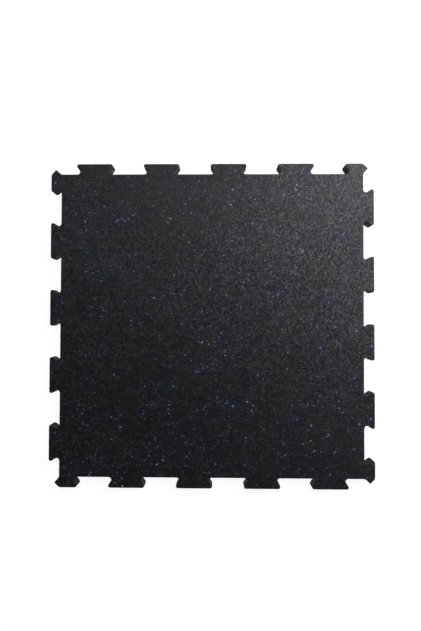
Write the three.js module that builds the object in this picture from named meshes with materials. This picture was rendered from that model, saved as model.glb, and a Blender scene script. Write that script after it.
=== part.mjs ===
// Interlocking rubber gym floor tile.
// One pressed slab of rubber crumb with dovetail tabs on all four sides. The four sides are the same
// outline, turned a quarter of a turn each time, so any side of one tile locks into any side of the next.
// Each side runs, left to right seen from outside: the pocket for a neighbour's corner tab, then full
// tabs and pockets by turns, and last this tile's own corner tab, which ends in line with the slab.
// Where four tiles meet, each corner tab puts a pointed barb into its quarter of the crossing square.
// Units are millimetres. +Z is up, and the origin is the middle of the underside.

import * as THREE from "three";

// The tile
const LAYING_PITCH = 500; // from a point on one laid tile to the same point on the next
const THICKNESS = 15;
const TABS_PER_SIDE = 4; // full tabs, without the corner tab

// The interlock
const TAB_DEPTH = 16.7; // from the edge of the slab to the end of a tab
const CORNER_TAB_WIDTH = 26.6; // at half the tab's depth, with the clearance on its flank
const FLANK_ANGLE = THREE.MathUtils.degToRad(35); // lean of a dovetail flank
const FLANK_CLEARANCE = 0.6; // taken off each of two mating flanks
const END_CLEARANCE = 0.5; // between the end of a tab and the edge that it meets

// Roundings of the outline, and the round-over of the upper and lower rims
const TAB_CORNER_RADIUS = 3.4;
const ROOT_FILLET_RADIUS = TAB_CORNER_RADIUS + END_CLEARANCE; // a neighbour's tab corner lies in it
const BARB_TIP_RADIUS = 1.6;
const BARB_SHOULDER_RADIUS = 8; // between the end of the corner tab and its barb
const BARB_ROOT_RADIUS = BARB_SHOULDER_RADIUS + END_CLEARANCE; // a neighbour's shoulder lies in it
const RIM_RADIUS = 0.8;

// Straight steps that stand for the curves
const ARC_STEPS = 2; // in each eighth of a rounding, so each rounding has twice as many
const RIM_STEPS = 2;

// The slab without its tabs, and one tab or pocket along its side
const SLAB_SIDE = LAYING_PITCH - TAB_DEPTH - END_CLEARANCE;
const HALF_SLAB = SLAB_SIDE / 2;
const TAB_MODULE = (SLAB_SIDE - 2 * CORNER_TAB_WIDTH) / (2 * TABS_PER_SIDE);
const TAB_END = HALF_SLAB + TAB_DEPTH;
const FLANK_LEAN = TAB_DEPTH * Math.tan(FLANK_ANGLE); // sideways run of a flank, from root to end

// The barb fills a quarter of the crossing square, less the clearance, between two 45 degree faces.
const CROSSING_MIDDLE = HALF_SLAB + (TAB_DEPTH + END_CLEARANCE) / 2;
const BARB_TIP = CROSSING_MIDDLE - Math.SQRT2 * FLANK_CLEARANCE;
const BARB_REACH = BARB_TIP - HALF_SLAB;

function corner(x, y, radius) {
  return { point: new THREE.Vector2(x, y), radius };
}

// A tab's flank near x, from left to right: from root to end where the tab lies to the right of it.
function flank(x, tabOnTheRight) {
  const towardsTab = tabOnTheRight ? 1 : -1;
  const middle = x + towardsTab * FLANK_CLEARANCE;
  const halfLean = (towardsTab * FLANK_LEAN) / 2;
  const root = corner(middle + halfLean, HALF_SLAB, ROOT_FILLET_RADIUS);
  const end = corner(middle - halfLean, TAB_END, TAB_CORNER_RADIUS);
  return tabOnTheRight ? [root, end] : [end, root];
}

// The corners of the side at +Y, from left to right.
function sideCorners() {
  const corners = [];
  for (let i = 0; i < TABS_PER_SIDE; i++) {
    const left = -HALF_SLAB + CORNER_TAB_WIDTH + 2 * i * TAB_MODULE;
    corners.push(...flank(left, true), ...flank(left + TAB_MODULE, false));
  }
  corners.push(
    ...flank(HALF_SLAB - CORNER_TAB_WIDTH, true),
    corner(BARB_TIP - (TAB_END - CROSSING_MIDDLE), TAB_END, BARB_SHOULDER_RADIUS),
    corner(BARB_TIP, CROSSING_MIDDLE, BARB_TIP_RADIUS),
    corner(HALF_SLAB, CROSSING_MIDDLE - BARB_REACH, BARB_ROOT_RADIUS),
  );
  return corners;
}

// The corners of all four sides, clockwise seen from above.
function outlineCorners() {
  const middle = new THREE.Vector2();
  const corners = [];
  for (let side = 0; side < 4; side++) {
    for (const { point, radius } of sideCorners()) {
      corners.push(corner(...point.rotateAround(middle, (-side * Math.PI) / 2), radius));
    }
  }
  return corners;
}

// A closed shape through the corners, each one rounded by an arc that touches both of its sides. The
// shape joins each arc to the next one by a straight line.
function roundedShape(corners) {
  const shape = new THREE.Shape();
  corners.forEach(({ point, radius }, i) => {
    const before = corners.at(i - 1).point.clone().sub(point).normalize();
    const after = corners[(i + 1) % corners.length].point.clone().sub(point).normalize();
    const halfAngle = Math.acos(before.dot(after)) / 2;
    const start = point.clone().addScaledVector(before, radius / Math.tan(halfAngle));
    const end = point.clone().addScaledVector(after, radius / Math.tan(halfAngle));
    const toCentre = before.clone().add(after).setLength(radius / Math.sin(halfAngle));
    const centre = point.clone().add(toCentre);
    const clockwise = before.cross(after) > 0;
    shape.absarc(
      centre.x,
      centre.y,
      radius,
      start.sub(centre).angle(),
      end.sub(centre).angle(),
      clockwise,
    );
  });
  return shape;
}

// The whole tile: the outline pressed to its thickness, with both rims rounded over.
function tileGeometry() {
  const geometry = new THREE.ExtrudeGeometry(roundedShape(outlineCorners()), {
    depth: THICKNESS - 2 * RIM_RADIUS,
    curveSegments: ARC_STEPS,
    bevelEnabled: true,
    bevelThickness: RIM_RADIUS,
    bevelSize: RIM_RADIUS,
    bevelOffset: -RIM_RADIUS,
    bevelSegments: RIM_STEPS,
  });
  return geometry.translate(0, 0, RIM_RADIUS);
}

const blackCrumbRubber = new THREE.MeshStandardMaterial({
  color: 0x232324,
  roughness: 0.8,
  metalness: 0,
});

const tile = new THREE.Mesh(tileGeometry(), blackCrumbRubber);
tile.name = "rubber_tile";

const gymFloorTile = new THREE.Group();
gymFloorTile.add(tile);

export default gymFloorTile;
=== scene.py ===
import math

import bmesh
import bpy
import numpy as np
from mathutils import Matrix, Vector, noise
from mathutils.geometry import delaunay_2d_cdt
from mathutils.kdtree import KDTree


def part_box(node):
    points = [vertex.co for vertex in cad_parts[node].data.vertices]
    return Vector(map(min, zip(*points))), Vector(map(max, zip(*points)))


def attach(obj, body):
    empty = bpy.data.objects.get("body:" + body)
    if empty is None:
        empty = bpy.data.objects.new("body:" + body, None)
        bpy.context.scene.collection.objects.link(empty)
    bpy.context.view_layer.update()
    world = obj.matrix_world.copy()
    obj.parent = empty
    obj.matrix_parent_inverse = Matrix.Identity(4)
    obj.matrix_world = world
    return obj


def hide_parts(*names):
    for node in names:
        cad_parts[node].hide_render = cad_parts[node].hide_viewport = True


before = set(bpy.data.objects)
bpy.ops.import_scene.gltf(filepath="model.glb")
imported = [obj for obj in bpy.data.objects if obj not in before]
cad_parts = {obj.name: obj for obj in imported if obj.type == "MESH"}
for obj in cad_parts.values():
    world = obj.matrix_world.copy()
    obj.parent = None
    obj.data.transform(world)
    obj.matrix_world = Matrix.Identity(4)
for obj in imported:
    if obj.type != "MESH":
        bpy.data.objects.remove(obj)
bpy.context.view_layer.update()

MM = 0.001
NODE = "rubber_tile"
RANDOM = np.random.default_rng(20)

# Camera
IMAGE_SIZE_PX = (421, 631)
FOCAL_LENGTH_PX = 328.5
SENSOR_MM = 36.0
CAMERA_PLACE_MM = (4.3, 6.9, 536.6)
CAMERA_TURN_DEG = (0.897, 0.629, 0.162)

# Studio
SOFT_LIGHTS = {  # place, size, power in watts, and colour
    "key": ((0.60, 0.60, 0.60), 0.4, 6.7, (0.93, 0.93, 1.0)),
    "far_light": ((-0.16, 0.90, 1.31), 0.7, 5.5, (0.96, 0.97, 1.0)),
    "side_light": ((0.90, 0.10, 0.30), 0.4, 3.5, (0.93, 0.93, 1.0)),
}
FILL = 0.005
FLOOR_COLOUR = 0.26
FLOOR_GLOW = 0.92
FLOOR_ROUGHNESS = 0.9
FLOOR_SHINE = 0.1
FLOOR_UNEVENNESS = 0.02  # of its colour, in broad patches
FLOOR_PATCH = 0.4
FLOOR_RADIUS = 2.4
COVE_RADIUS = 1.0
COVE_STEPS = 16
BACKDROP_HEIGHT = 5.0
TURN_STEPS = 96

# Granules pressed into the faces
TOP_GRANULE_MM = 3.5
UNDERSIDE_GRANULE_MM = 5.2
GRANULE_SHIFT = 0.33  # of their spacing, the most by which granules lie off an even grid
CREVICE_MM = 0.16
GRANULE_RISE_MM = 0.08
FACE_SINK_MM = 0.05
EDGE_MARGIN = 0.5  # of a granule, between the rim and the nearest granule

# Walls and rims
SAME_LEVEL_MM = 0.01
WALL_STEP_MM = 1.9
WALL_ROWS = 6
WALL_RELIEF_MM = 0.3
WALL_NOISE_MM = 2.6
RIM_ROWS = 2  # on each of the two rims

# Flecks
MM2_PER_FLECK = 215.0
CLUSTERED = 0.45  # share of the flecks that lie near another one, of the same hue
CLUSTER_MM = 8.5
FLECK_MM = 1.52
FLECK_SPREAD = 0.38
FLECK_LARGEST_MM = 3.8
FLECK_DEPTH_MM = 0.6
FLECK_CROWN_MM = 0.05
FLECK_EDGE_MM = 2.2  # on a face, the least distance from a fleck's centre to the outline
FLECK_RIM_MM = 2.5  # on a wall, the least distance from a fleck's centre to either face
FLECK_ALONG = (0.15, 0.85)  # on a wall, the part of a straight stretch in which a fleck may lie
FLECK_CORNERS = (5, 9)  # the fewest, and one above the most
FLECK_CORNER_SHIFT = 0.3  # of the angle between two corners
FLECK_RADII = (0.75, 1.15)  # of half its size, from its middle to a corner
FLECK_STRETCH = (0.65, 1.0)  # width of a fleck against its length
CROWN_SHARE = 0.72  # of a fleck's width, for the ring between its middle and its edge
CROWN_FALL = 0.3  # of the crown's height, from its middle to that ring
FLECK_COLOURS = [  # place among the hues, and colour
    (0.00, (0.27, 0.27, 0.26)),
    (0.24, (0.26, 0.25, 0.29)),
    (0.42, (0.21, 0.21, 0.33)),
    (0.60, (0.16, 0.18, 0.33)),
    (0.74, (0.20, 0.17, 0.32)),
    (0.86, (0.14, 0.20, 0.30)),
    (1.00, (0.14, 0.21, 0.22)),
]
FLECK_MOTTLE_MM = 0.6
FLECK_MOTTLE = 0.1  # spread of the hues within a fleck
FLECK_ROUGHNESS = (0.50, 0.75)
FLECK_GRAIN_MM = 0.35
FLECK_GRAIN_RELIEF_MM = 0.08

# Fine crumbs of the flecks, which tint the granules round them
DUST_REACH_MM = 5.0
DUST_END = 3  # times its reach
DUST_DEPTH = 3  # power that deepens the tint
DUST_MOST = 0.04785  # of the tint, on the dustiest granule
DUSTLESS = 0.4  # share of the granules that take no tint

# Finishes of the tile
FINISHES = {  # granule size and relief in mm, tilt of the granules, roughness and shine
    "pressed_face": (2.6, 0.12, 0.40, 0.53, 0.50),
    "rough_wall": (2.8, 0.25, 0.50, 0.75, 0.28),
    "underside": (3.0, 0.20, 0.40, 0.72, 0.35),
}
PRESSED, ROUGH, UNDER = range(len(FINISHES))
SEAM_WIDTH = 0.3  # of a granule, over which it rises from its seam
FINE_GRAIN_MM = 0.5
FINE_GRAIN_RELIEF_MM = 0.06
PATCH_MM = 70
PATCH_SHARE = 0.2  # of a granule's shade, from the patch that it lies in
GRANULE_ROUGHNESS_SPREAD = 0.14
FINE_ROUGHNESS_SPREAD = 0.2
NOISE_LOW, NOISE_HIGH = 0.3, 0.7  # nearly all values of a noise lie between these
FINE_DETAIL = 3.0  # octaves of a fine noise
BLACKS = [  # place among the shades of the granules, and colour
    (0.10, (0.0001, 0.0001, 0.0001)),
    (0.50, (0.0004, 0.0004, 0.0006)),
    (0.66, (0.0044, 0.0044, 0.0050)),
    (0.88, (0.0280, 0.0280, 0.0310)),
]

# Surface map of the tile: the upper face and the underside are squares, and the wall lies in strips
MAP_EDGE = 0.004
TOP_SPAN = 0.65
UNDERSIDE_SPAN = 0.33
WALL_ZOOM = 1.2

# Surface map of the flecks: each has a cell, with its crown in the left half and the rest in the right
CROWN_ON_CELL = (0.25, 0.5)
FOOT_ON_CELL = (0.75, 0.5)
RADIUS_ON_CELL = (0.2, 0.4)


def add_object(name, data):
    piece = bpy.data.objects.new(name, data)
    bpy.context.collection.objects.link(piece)
    return piece


def add_camera():
    data = bpy.data.cameras.new("camera")
    data.sensor_width = SENSOR_MM
    data.lens = FOCAL_LENGTH_PX / max(IMAGE_SIZE_PX) * SENSOR_MM
    camera = add_object("camera", data)
    camera.location = Vector(CAMERA_PLACE_MM) * MM
    camera.rotation_euler = [math.radians(a) for a in CAMERA_TURN_DEG]
    bpy.context.scene.camera = camera


# Outline


def cad_outline():
    """The tile's outline seen from above, anticlockwise, and the radius of its rim."""
    bm = bmesh.new()
    bm.from_mesh(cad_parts[NODE].data)
    bmesh.ops.remove_doubles(bm, verts=bm.verts, dist=SAME_LEVEL_MM * MM)
    low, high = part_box(NODE)
    level = min(v.co.z for v in bm.verts if v.co.z > (low.z + high.z) / 2)

    def on_level(v):
        return abs(v.co.z - level) < SAME_LEVEL_MM * MM

    loop = [next(v for v in bm.verts if on_level(v))]
    while True:
        around = [e.other_vert(loop[-1]) for e in loop[-1].link_edges]
        step = next(v for v in around if on_level(v) and v not in loop[-2:-1])
        if step is loop[0]:
            break
        loop.append(step)
    points = np.array([v.co[:2] for v in loop])
    bm.free()
    after = np.roll(points, -1, axis=0)
    area = np.sum(points[:, 0] * after[:, 1] - points[:, 1] * after[:, 0]) / 2
    return (points if area > 0 else points[::-1]), high.z - level


def divided(points, step):
    """A closed line through the same points, cut so that no stretch is much longer than step."""
    made = []
    for a, b in zip(points, np.roll(points, -1, axis=0)):
        count = max(1, round(np.linalg.norm(b - a) / step))
        made.extend(a + (b - a) * i / count for i in range(count))
    return np.array(made)


def outward(points):
    """For each point of a closed anticlockwise line, the step that moves its stretches out by 1."""
    ahead = np.roll(points, -1, axis=0) - points
    ahead /= np.linalg.norm(ahead, axis=1)[:, None]
    side = np.column_stack([ahead[:, 1], -ahead[:, 0]])
    both = side + np.roll(side, 1, axis=0)
    return both / np.sum(both * side, axis=1)[:, None]


def within(points, line):
    """For each point, True if it lies inside the closed line."""
    inside = np.zeros(len(points), bool)
    for (ax, ay), (bx, by) in zip(line, np.roll(line, -1, axis=0)):
        spans = (ay > points[:, 1]) != (by > points[:, 1])
        reach = (points[spans, 1] - ay) / (by - ay) * (bx - ax) + ax
        inside[spans] ^= points[spans, 0] < reach
    return inside


def clear_of(points, line, distance):
    """For each point, True if no corner of the line is nearer than distance."""
    cells = {}
    for p in line:
        cells.setdefault((int(p[0] // distance), int(p[1] // distance)), []).append(p)
    clear = np.ones(len(points), bool)
    for i, p in enumerate(points):
        column, row = int(p[0] // distance), int(p[1] // distance)
        for cell in ((column + a, row + b) for a in (-1, 0, 1) for b in (-1, 0, 1)):
            for q in cells.get(cell, ()):
                if (p[0] - q[0]) ** 2 + (p[1] - q[1]) ** 2 < distance**2:
                    clear[i] = False
    return clear


# Shapes


class Shape:
    """Collects vertices and faces, with each face's places on the surface map."""

    def __init__(self):
        self.vertices, self.faces, self.places, self.slots = [], [], [], []

    def add_face(self, corners, places, slot=0):
        self.faces.append(tuple(corners))
        self.places.extend(places)
        self.slots.append(slot)

    def mesh(self, name, smooth):
        mesh = bpy.data.meshes.new(name)
        mesh.from_pydata(self.vertices, [], self.faces)
        mesh.polygons.foreach_set("material_index", self.slots)
        mesh.polygons.foreach_set("use_smooth", [smooth] * len(self.faces))
        layer = mesh.uv_layers.new(name="OFBake")
        layer.uv.foreach_set("vector", np.array(self.places, np.float32).ravel())
        mesh.update()
        return mesh


# Faces with granules


def scattered(low, high, step):
    """Points on a hexagonal grid over a rectangle, each moved a little at random."""
    columns = np.arange(low[0], high[0], step)
    rows = np.arange(low[1], high[1], step * math.sqrt(3) / 2)
    x, y = np.meshgrid(columns, rows)
    x = x + (np.arange(len(rows)) % 2)[:, None] * step / 2
    points = np.column_stack([x.ravel(), y.ravel()])
    return points + RANDOM.uniform(-GRANULE_SHIFT, GRANULE_SHIFT, points.shape) * step


def triangulated(points, border_count):
    """Triangles over points, of which the first border_count are the closed border."""
    border = [list(range(border_count))]
    only_inside, tolerance = 1, 1e-7
    spots = [Vector(p) for p in points]
    flat, _, faces, origins, _, _ = delaunay_2d_cdt(spots, [], border, only_inside, tolerance)
    assert len(flat) == len(points)
    back = [origin[0] for origin in origins]
    return [[back[i] for i in face] for face in faces]


def granular_face(border, step, with_crevices):
    """Points and triangles of a face inside the border. sunk is 1 in a crevice, and 0 on a granule."""
    seeds = scattered(border.min(0), border.max(0), step)
    seeds = seeds[within(seeds, border)]
    seeds = seeds[clear_of(seeds, border, EDGE_MARGIN * step)]
    points = np.vstack([border, seeds])
    faces = triangulated(points, len(border))
    if not with_crevices:
        return points, faces, np.zeros(len(points))
    corners = np.array(faces)
    touches_border = (corners < len(border)).any(axis=1)
    crevices = points[corners[~touches_border]].mean(axis=1)
    sunk = np.append(np.zeros(len(points)), np.ones(len(crevices)))
    points = np.vstack([points, crevices])
    return points, triangulated(points, len(border)), sunk


def close_tile(shape, first, count, z, up, step, with_crevices, slot, map_corner, map_span):
    """Fills the ring of count vertices from first on with a granular face at height z."""
    border = np.array([v[:2] for v in shape.vertices[first:first + count]])
    points, triangles, sunk = granular_face(border, step, with_crevices)
    depth = RANDOM.uniform(0, GRANULE_RISE_MM, len(points)) + FACE_SINK_MM + sunk * CREVICE_MM
    heights = z - up * depth * MM
    number = [first + i for i in range(count)]
    number += [len(shape.vertices) + i for i in range(len(points) - count)]
    placed = [(x, y, h) for (x, y), h in zip(points, heights)]
    shape.vertices[first:first + count] = placed[:count]
    shape.vertices.extend(placed[count:])
    span = border.max(0) - border.min(0)
    places = np.array(map_corner) + (points - border.min(0)) / span * map_span
    for triangle in triangles:
        order = triangle if up > 0 else triangle[::-1]
        shape.add_face([number[i] for i in order], places[order], slot)


def wall_rows(rim):
    """Rows of points down the wall, as (inset, height), from the upper face to the underside."""
    low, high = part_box(NODE)
    arcs = [math.pi / 2 * i / RIM_ROWS for i in range(RIM_ROWS + 1)]
    rows = [(rim * (1 - math.sin(a)), high.z - rim * (1 - math.cos(a))) for a in arcs]
    wall_height = high.z - low.z - 2 * rim
    rows += [(0, high.z - rim - wall_height * i / WALL_ROWS) for i in range(1, WALL_ROWS)]
    rows += [(inset, low.z + high.z - z) for inset, z in reversed(rows[: RIM_ROWS + 1])]
    return rows


def add_wall(shape, line, rows):
    """The rough wall with its rounded rims. On the map it lies in strips, one above the other."""
    normals = outward(line)
    for inset, z in rows:
        for (x, y), (nx, ny) in zip(line, normals):
            rough = (noise.noise(Vector((x, y, z)) / (WALL_NOISE_MM * MM)) + 1) / 2
            push = inset + rough * WALL_RELIEF_MM * MM
            shape.vertices.append((x - nx * push, y - ny * push, z))

    # along is the place on the outline, and down the place on the wall's profile
    low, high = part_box(NODE)
    zoom = WALL_ZOOM * TOP_SPAN / (high.x - low.x)
    lengths = np.linalg.norm(np.roll(line, -1, axis=0) - line, axis=1)
    along = np.append(0, np.cumsum(lengths)) * zoom
    down = np.append(0, np.cumsum([math.dist(a, b) for a, b in zip(rows, rows[1:])])) * zoom
    strip = 0
    strip_start = 0.0
    count = len(line)
    for i in range(count):
        j = (i + 1) % count
        if along[i + 1] - strip_start > 1 - 2 * MAP_EDGE:
            strip, strip_start = strip + 1, along[i]
        left, right = along[i] - strip_start + MAP_EDGE, along[i + 1] - strip_start + MAP_EDGE
        top = 1 - TOP_SPAN - 2 * MAP_EDGE - strip * (down[-1] + MAP_EDGE)
        for row in range(len(rows) - 1):
            a, b = row * count + i, row * count + j
            over, under = top - down[row], top - down[row + 1]
            on_rim = row < RIM_ROWS or row >= len(rows) - 1 - RIM_ROWS
            places = [(left, over), (left, under), (right, under), (right, over)]
            shape.add_face([a, a + count, b + count, b], places, PRESSED if on_rim else ROUGH)


def tile_shape(outline, rim):
    """The whole tile, closed: two granular faces, joined by rounded rims and rough walls."""
    low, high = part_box(NODE)
    line = divided(outline, WALL_STEP_MM * MM)
    rows = wall_rows(rim)
    shape = Shape()
    add_wall(shape, line, rows)
    count = len(line)
    step = TOP_GRANULE_MM * MM
    top_corner = (MAP_EDGE, 1 - MAP_EDGE - TOP_SPAN)
    close_tile(shape, 0, count, high.z, 1, step, True, PRESSED, top_corner, TOP_SPAN)
    last = (len(rows) - 1) * count
    step = UNDERSIDE_GRANULE_MM * MM
    corner = (1 - MAP_EDGE - UNDERSIDE_SPAN, 1 - MAP_EDGE - UNDERSIDE_SPAN)
    close_tile(shape, last, count, low.z, -1, step, False, UNDER, corner, UNDERSIDE_SPAN)
    return shape


# Flecks


def scatter_flecks(outline):
    """For each fleck its centre, two directions along the surface and one out of it, hue and size."""
    low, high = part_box(NODE)
    flecks = []
    x_axis, y_axis, z_axis = Vector((1, 0, 0)), Vector((0, 1, 0)), Vector((0, 0, 1))
    area_each = MM2_PER_FLECK * MM * MM
    tries = int((high.x - low.x) * (high.y - low.y) / area_each)
    line = divided(outline, WALL_STEP_MM * MM)
    for z, up in ((high.z, 1), (low.z, -1)):
        spots = RANDOM.uniform(low[:2], high[:2], (tries, 2))
        hues = RANDOM.uniform(size=tries)
        clustered = int(CLUSTERED * tries)
        nearest = RANDOM.integers(clustered, tries, clustered)
        spots[:clustered] = spots[nearest] + RANDOM.normal(0, CLUSTER_MM * MM, (clustered, 2))
        hues[:clustered] = hues[nearest]
        inside = within(spots, outline) & clear_of(spots, line, FLECK_EDGE_MM * MM)
        for (x, y), hue in zip(spots[inside], hues[inside]):
            flecks.append((Vector((x, y, z)), x_axis, y_axis * up, z_axis * up, hue))
    ahead = np.roll(outline, -1, axis=0) - outline
    lengths = np.linalg.norm(ahead, axis=1)
    for _ in range(int(lengths.sum() * (high.z - low.z) / area_each)):
        i = RANDOM.choice(len(outline), p=lengths / lengths.sum())
        if lengths[i] < FLECK_LARGEST_MM * MM:
            continue
        along = Vector((*ahead[i], 0)).normalized()
        height = RANDOM.uniform(low.z + FLECK_RIM_MM * MM, high.z - FLECK_RIM_MM * MM)
        spot = outline[i] + ahead[i] * RANDOM.uniform(*FLECK_ALONG)
        flecks.append((Vector((*spot, height)), along, z_axis, along.cross(z_axis), RANDOM.uniform()))
    sizes = np.minimum(FLECK_MM * np.exp(RANDOM.normal(0, FLECK_SPREAD, len(flecks))), FLECK_LARGEST_MM)
    return [(*fleck, size * MM) for fleck, size in zip(flecks, sizes)]


def fleck_shape(flecks):
    """All flecks: irregular chips with a nearly flat crown in the surface and a point sunk in the tile."""
    shape = Shape()
    hues = []
    grid = math.ceil(math.sqrt(len(flecks)))
    for k, (centre, across, along, out, hue, size) in enumerate(flecks):
        corners = int(RANDOM.integers(*FLECK_CORNERS))
        steps = np.arange(corners) + RANDOM.uniform(-FLECK_CORNER_SHIFT, FLECK_CORNER_SHIFT, corners)
        angles = RANDOM.uniform(0, 2 * math.pi) + steps * 2 * math.pi / corners
        radii = RANDOM.uniform(*FLECK_RADII, corners)
        stretch = RANDOM.uniform(*FLECK_STRETCH)
        flat = np.column_stack([radii * np.cos(angles), radii * np.sin(angles) * stretch])

        first = len(shape.vertices)
        crown = FLECK_CROWN_MM * MM
        rings = [(CROWN_SHARE, -crown * CROWN_FALL), (1.0, -crown)]
        for share, height in rings:
            for x, y in flat * share * size / 2:
                shape.vertices.append(centre + across * x + along * y + out * height)
        top, foot = len(shape.vertices), len(shape.vertices) + 1
        shape.vertices += [centre.copy(), centre - out * FLECK_DEPTH_MM * MM]

        cell = np.array([k % grid, k // grid])
        crown_middle = (cell + CROWN_ON_CELL) / grid
        foot_middle = (cell + FOOT_ON_CELL) / grid
        spread = flat * RADIUS_ON_CELL / grid
        for i in range(corners):
            j = (i + 1) % corners
            inner, outer = first + i, first + corners + i
            inner_next, outer_next = first + j, first + corners + j
            rim_places = [crown_middle + spread[i] * CROWN_SHARE, crown_middle + spread[i]]
            next_places = [crown_middle + spread[j], crown_middle + spread[j] * CROWN_SHARE]
            shape.add_face([inner, outer, outer_next, inner_next], rim_places + next_places)
            shape.add_face([top, inner, inner_next], [crown_middle, rim_places[0], next_places[1]])
            under = [foot_middle, foot_middle + spread[j], foot_middle + spread[i]]
            shape.add_face([foot, outer_next, outer], under)
        hues += [hue] * (2 * corners + 2)
    return shape, hues


def fleck_dust(vertices, flecks):
    """The tint that fine crumbs of the flecks nearby give to each vertex of the tile."""
    tree = KDTree(len(vertices))
    for i, vertex in enumerate(vertices):
        tree.insert(vertex, i)
    tree.balance()
    stops, colours = zip(*FLECK_COLOURS)
    dust = np.zeros((len(vertices), 3))
    for centre, _, _, _, hue, size in flecks:
        colour = np.array([np.interp(hue, stops, channel) for channel in zip(*colours)])
        tint = (colour / colour.max()) ** DUST_DEPTH
        strength = (size / (FLECK_MM * MM)) ** 2
        for _, i, distance in tree.find_range(centre, DUST_END * DUST_REACH_MM * MM):
            near = math.exp(-((distance / (DUST_REACH_MM * MM)) ** 2) / 2)
            dust[i] += (tint - tint.min()) * strength * near
    return dust / (1 + dust.max(axis=1))[:, None]


# Materials


class Nodes:
    """Adds and joins the nodes of one material."""

    def __init__(self, name):
        self.material = bpy.data.materials.new(name)
        self.material.use_nodes = True
        self.tree = self.material.node_tree
        self.shader = self.tree.nodes["Principled BSDF"]
        self.place = self.add("ShaderNodeTexCoord").outputs["Object"]

    def add(self, kind, inputs=None, **settings):
        node = self.tree.nodes.new(kind)
        for key, value in settings.items():
            setattr(node, key, value)
        for key, value in (inputs or {}).items():
            self.put(node.inputs[key], value)
        return node

    def put(self, socket, value):
        if isinstance(value, bpy.types.NodeSocket):
            self.tree.links.new(value, socket)
        else:
            socket.default_value = value

    def maths(self, operation, a, b=0.0):
        return self.add("ShaderNodeMath", {0: a, 1: b}, operation=operation).outputs[0]

    def vectors(self, operation, a, b, output="Vector"):
        return self.add("ShaderNodeVectorMath", {0: a, 1: b}, operation=operation).outputs[output]

    def noise(self, size, detail=2.0):
        settings = {"Vector": self.place, "Scale": 1 / size, "Detail": detail}
        return self.add("ShaderNodeTexNoise", settings).outputs[0]

    def cells(self, size, feature="F1"):
        settings = {"Vector": self.place, "Scale": 1 / size}
        return self.add("ShaderNodeTexVoronoi", settings, feature=feature)

    def between(self, value, low, high, to_low, to_high):
        settings = {"Value": value, "From Min": low, "From Max": high, "To Min": to_low, "To Max": to_high}
        return self.add("ShaderNodeMapRange", settings).outputs[0]

    def ramp(self, value, stops):
        node = self.add("ShaderNodeValToRGB", {"Fac": value})
        elements = node.color_ramp.elements
        while len(elements) < len(stops):
            elements.new(0.5)
        for element, (position, colour) in zip(elements, stops):
            element.position = position
            element.color = (*colour, 1)
        return node.outputs["Color"]


def crumb_material(name, granule_mm, relief_mm, tilt, roughness, shine):
    """Pressed rubber crumb: each granule has its own shade, tilt and roughness, and seams round it."""
    n = Nodes(name)
    cells = n.cells(granule_mm * MM)
    seams = n.cells(granule_mm * MM, "DISTANCE_TO_EDGE").outputs["Distance"]
    chance = n.add("ShaderNodeSeparateColor", {"Color": cells.outputs["Color"]})
    fine = n.noise(FINE_GRAIN_MM * MM, FINE_DETAIL)
    broad = n.noise(PATCH_MM * MM)

    own_shade = n.maths("MULTIPLY", chance.outputs[0], 1 - PATCH_SHARE)
    patch_shade = n.maths("MULTIPLY", broad, PATCH_SHARE)
    black = n.ramp(n.maths("ADD", own_shade, patch_shade), BLACKS)
    specks = n.add("ShaderNodeAttribute", attribute_name="dust").outputs["Vector"]
    amount = n.between(chance.outputs[1], DUSTLESS, 1.0, 0.0, DUST_MOST)
    dust = n.add("ShaderNodeVectorMath", {0: specks, "Scale": amount}, operation="SCALE").outputs[0]
    n.put(n.shader.inputs["Base Color"], n.vectors("ADD", black, dust))

    own_change = n.maths("SUBTRACT", chance.outputs[0], 0.5)
    own_change = n.maths("MULTIPLY", own_change, GRANULE_ROUGHNESS_SPREAD)
    fine_change = n.maths("MULTIPLY", n.maths("SUBTRACT", fine, 0.5), FINE_ROUGHNESS_SPREAD)
    change = n.maths("ADD", own_change, fine_change)
    n.put(n.shader.inputs["Roughness"], n.maths("ADD", change, roughness))
    n.shader.inputs["Specular IOR Level"].default_value = shine

    # Height in millimetres: domed granules, each tilted its own way, under a fine grain
    dome = n.between(seams, 0.0, SEAM_WIDTH, 0.0, relief_mm)
    offset = n.vectors("SUBTRACT", n.place, cells.outputs["Position"])
    lean = n.vectors("SUBTRACT", cells.outputs["Color"], (0.5, 0.5, 0.5))
    facet = n.vectors("DOT_PRODUCT", offset, lean, "Value")
    height = n.maths("ADD", dome, n.maths("MULTIPLY", facet, tilt / MM))
    height = n.maths("ADD", height, n.maths("MULTIPLY", fine, FINE_GRAIN_RELIEF_MM))
    n.put(n.shader.inputs["Normal"], n.add("ShaderNodeBump", {"Height": height, "Distance": MM}).outputs[0])
    return n.material


def fleck_material():
    """Coloured granules, from grey through periwinkle, blue and violet to teal, each a little mottled."""
    n = Nodes("coloured_fleck")
    hue = n.add("ShaderNodeAttribute", attribute_name="hue").outputs["Fac"]
    mottle = n.maths("SUBTRACT", n.noise(FLECK_MOTTLE_MM * MM), 0.5)
    mottle = n.maths("MULTIPLY", mottle, FLECK_MOTTLE)
    n.put(n.shader.inputs["Base Color"], n.ramp(n.maths("ADD", hue, mottle), FLECK_COLOURS))
    fine = n.noise(FLECK_GRAIN_MM * MM, FINE_DETAIL)
    n.put(n.shader.inputs["Roughness"], n.between(fine, NOISE_LOW, NOISE_HIGH, *FLECK_ROUGHNESS))
    height = n.maths("MULTIPLY", fine, FLECK_GRAIN_RELIEF_MM)
    n.put(n.shader.inputs["Normal"], n.add("ShaderNodeBump", {"Height": height, "Distance": MM}).outputs[0])
    return n.material


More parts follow.
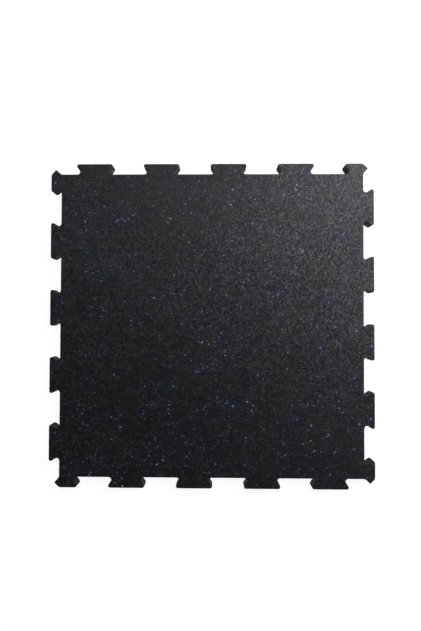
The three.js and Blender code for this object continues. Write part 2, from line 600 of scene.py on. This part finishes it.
def floor_material():
    """A pale floor that glows a little, so that shadows on it stay faint."""
    n = Nodes("pale_floor")
    darkest, lightest = FLOOR_COLOUR * (1 - FLOOR_UNEVENNESS), FLOOR_COLOUR * (1 + FLOOR_UNEVENNESS)
    patches = n.noise(FLOOR_PATCH, FINE_DETAIL)
    tone = n.between(patches, NOISE_LOW, NOISE_HIGH, darkest, lightest)
    colour = n.add("ShaderNodeCombineColor", {0: tone, 1: tone, 2: tone}).outputs[0]
    n.put(n.shader.inputs["Base Color"], colour)
    n.shader.inputs["Roughness"].default_value = FLOOR_ROUGHNESS
    n.shader.inputs["Specular IOR Level"].default_value = FLOOR_SHINE
    n.shader.inputs["Emission Color"].default_value = (1, 1, 1, 1)
    n.shader.inputs["Emission Strength"].default_value = FLOOR_GLOW
    return n.material


# Studio


def add_turned(name, profile, material):
    """A part of the studio, with a profile of (radius, height) turned round the upright axis."""
    bm = bmesh.new()
    points = [bm.verts.new((radius, 0, height)) for radius, height in profile]
    edges = [bm.edges.new(pair) for pair in zip(points, points[1:])]
    bmesh.ops.spin(bm, geom=points + edges, axis=(0, 0, 1), angle=2 * math.pi, steps=TURN_STEPS)
    bmesh.ops.remove_doubles(bm, verts=bm.verts, dist=MM)
    bmesh.ops.recalc_face_normals(bm, faces=bm.faces)
    mesh = bpy.data.meshes.new(name)
    bm.to_mesh(mesh)
    bm.free()
    mesh.polygons.foreach_set("use_smooth", [True] * len(mesh.polygons))
    mesh.materials.append(material)
    piece = add_object(name, mesh)
    return piece


def add_studio():
    """A pale floor that curves up into a cove, and soft lights on the far side and on the right."""
    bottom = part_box(NODE)[0].z
    profile = [(0.0, bottom), (FLOOR_RADIUS, bottom)]
    for i in range(1, COVE_STEPS + 1):
        a = math.pi / 2 * i / COVE_STEPS
        rise = COVE_RADIUS * (1 - math.cos(a))
        profile.append((FLOOR_RADIUS + COVE_RADIUS * math.sin(a), bottom + rise))
    pale = floor_material()
    add_turned("floor", profile, pale)

    # Above the cove a plain backdrop, which neither lights the tile nor mirrors in it
    top = (FLOOR_RADIUS + COVE_RADIUS, BACKDROP_HEIGHT)
    backdrop = add_turned("backdrop", [profile[-1], top], pale)
    backdrop.visible_diffuse = False
    backdrop.visible_glossy = False

    for name, (place, size, power, colour) in SOFT_LIGHTS.items():
        data = bpy.data.lights.new(name, "AREA")
        data.size = size
        data.energy = power
        data.color = colour
        light = add_object(name, data)
        light.location = place
        light.rotation_euler = Vector(place).to_track_quat("Z", "Y").to_euler()
        light.visible_camera = False

    world = bpy.data.worlds.new("studio")
    world.use_nodes = True
    background = world.node_tree.nodes["Background"]
    background.inputs["Color"].default_value = (1, 1, 1, 1)
    background.inputs["Strength"].default_value = FILL
    bpy.context.scene.world = world
    bpy.context.scene.view_settings.view_transform = "Standard"


add_camera()
add_studio()

outline, rim = cad_outline()
scattered_flecks = scatter_flecks(outline)

slab = tile_shape(outline, rim)
tile = add_object("crumb_tile", slab.mesh("crumb_tile", smooth=True))
dust = fleck_dust(slab.vertices, scattered_flecks)
tile.data.attributes.new("dust", "FLOAT_VECTOR", "POINT").data.foreach_set("vector", dust.ravel())
for finish_name, finish in FINISHES.items():
    tile.data.materials.append(crumb_material(finish_name, *finish))
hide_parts(NODE)
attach(tile, "root")

chips, hues = fleck_shape(scattered_flecks)
flecks = add_object("colour_flecks", chips.mesh("colour_flecks", smooth=False))
flecks.data.attributes.new("hue", "FLOAT", "POINT").data.foreach_set("value", hues)
flecks.data.materials.append(fleck_material())
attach(flecks, "root")
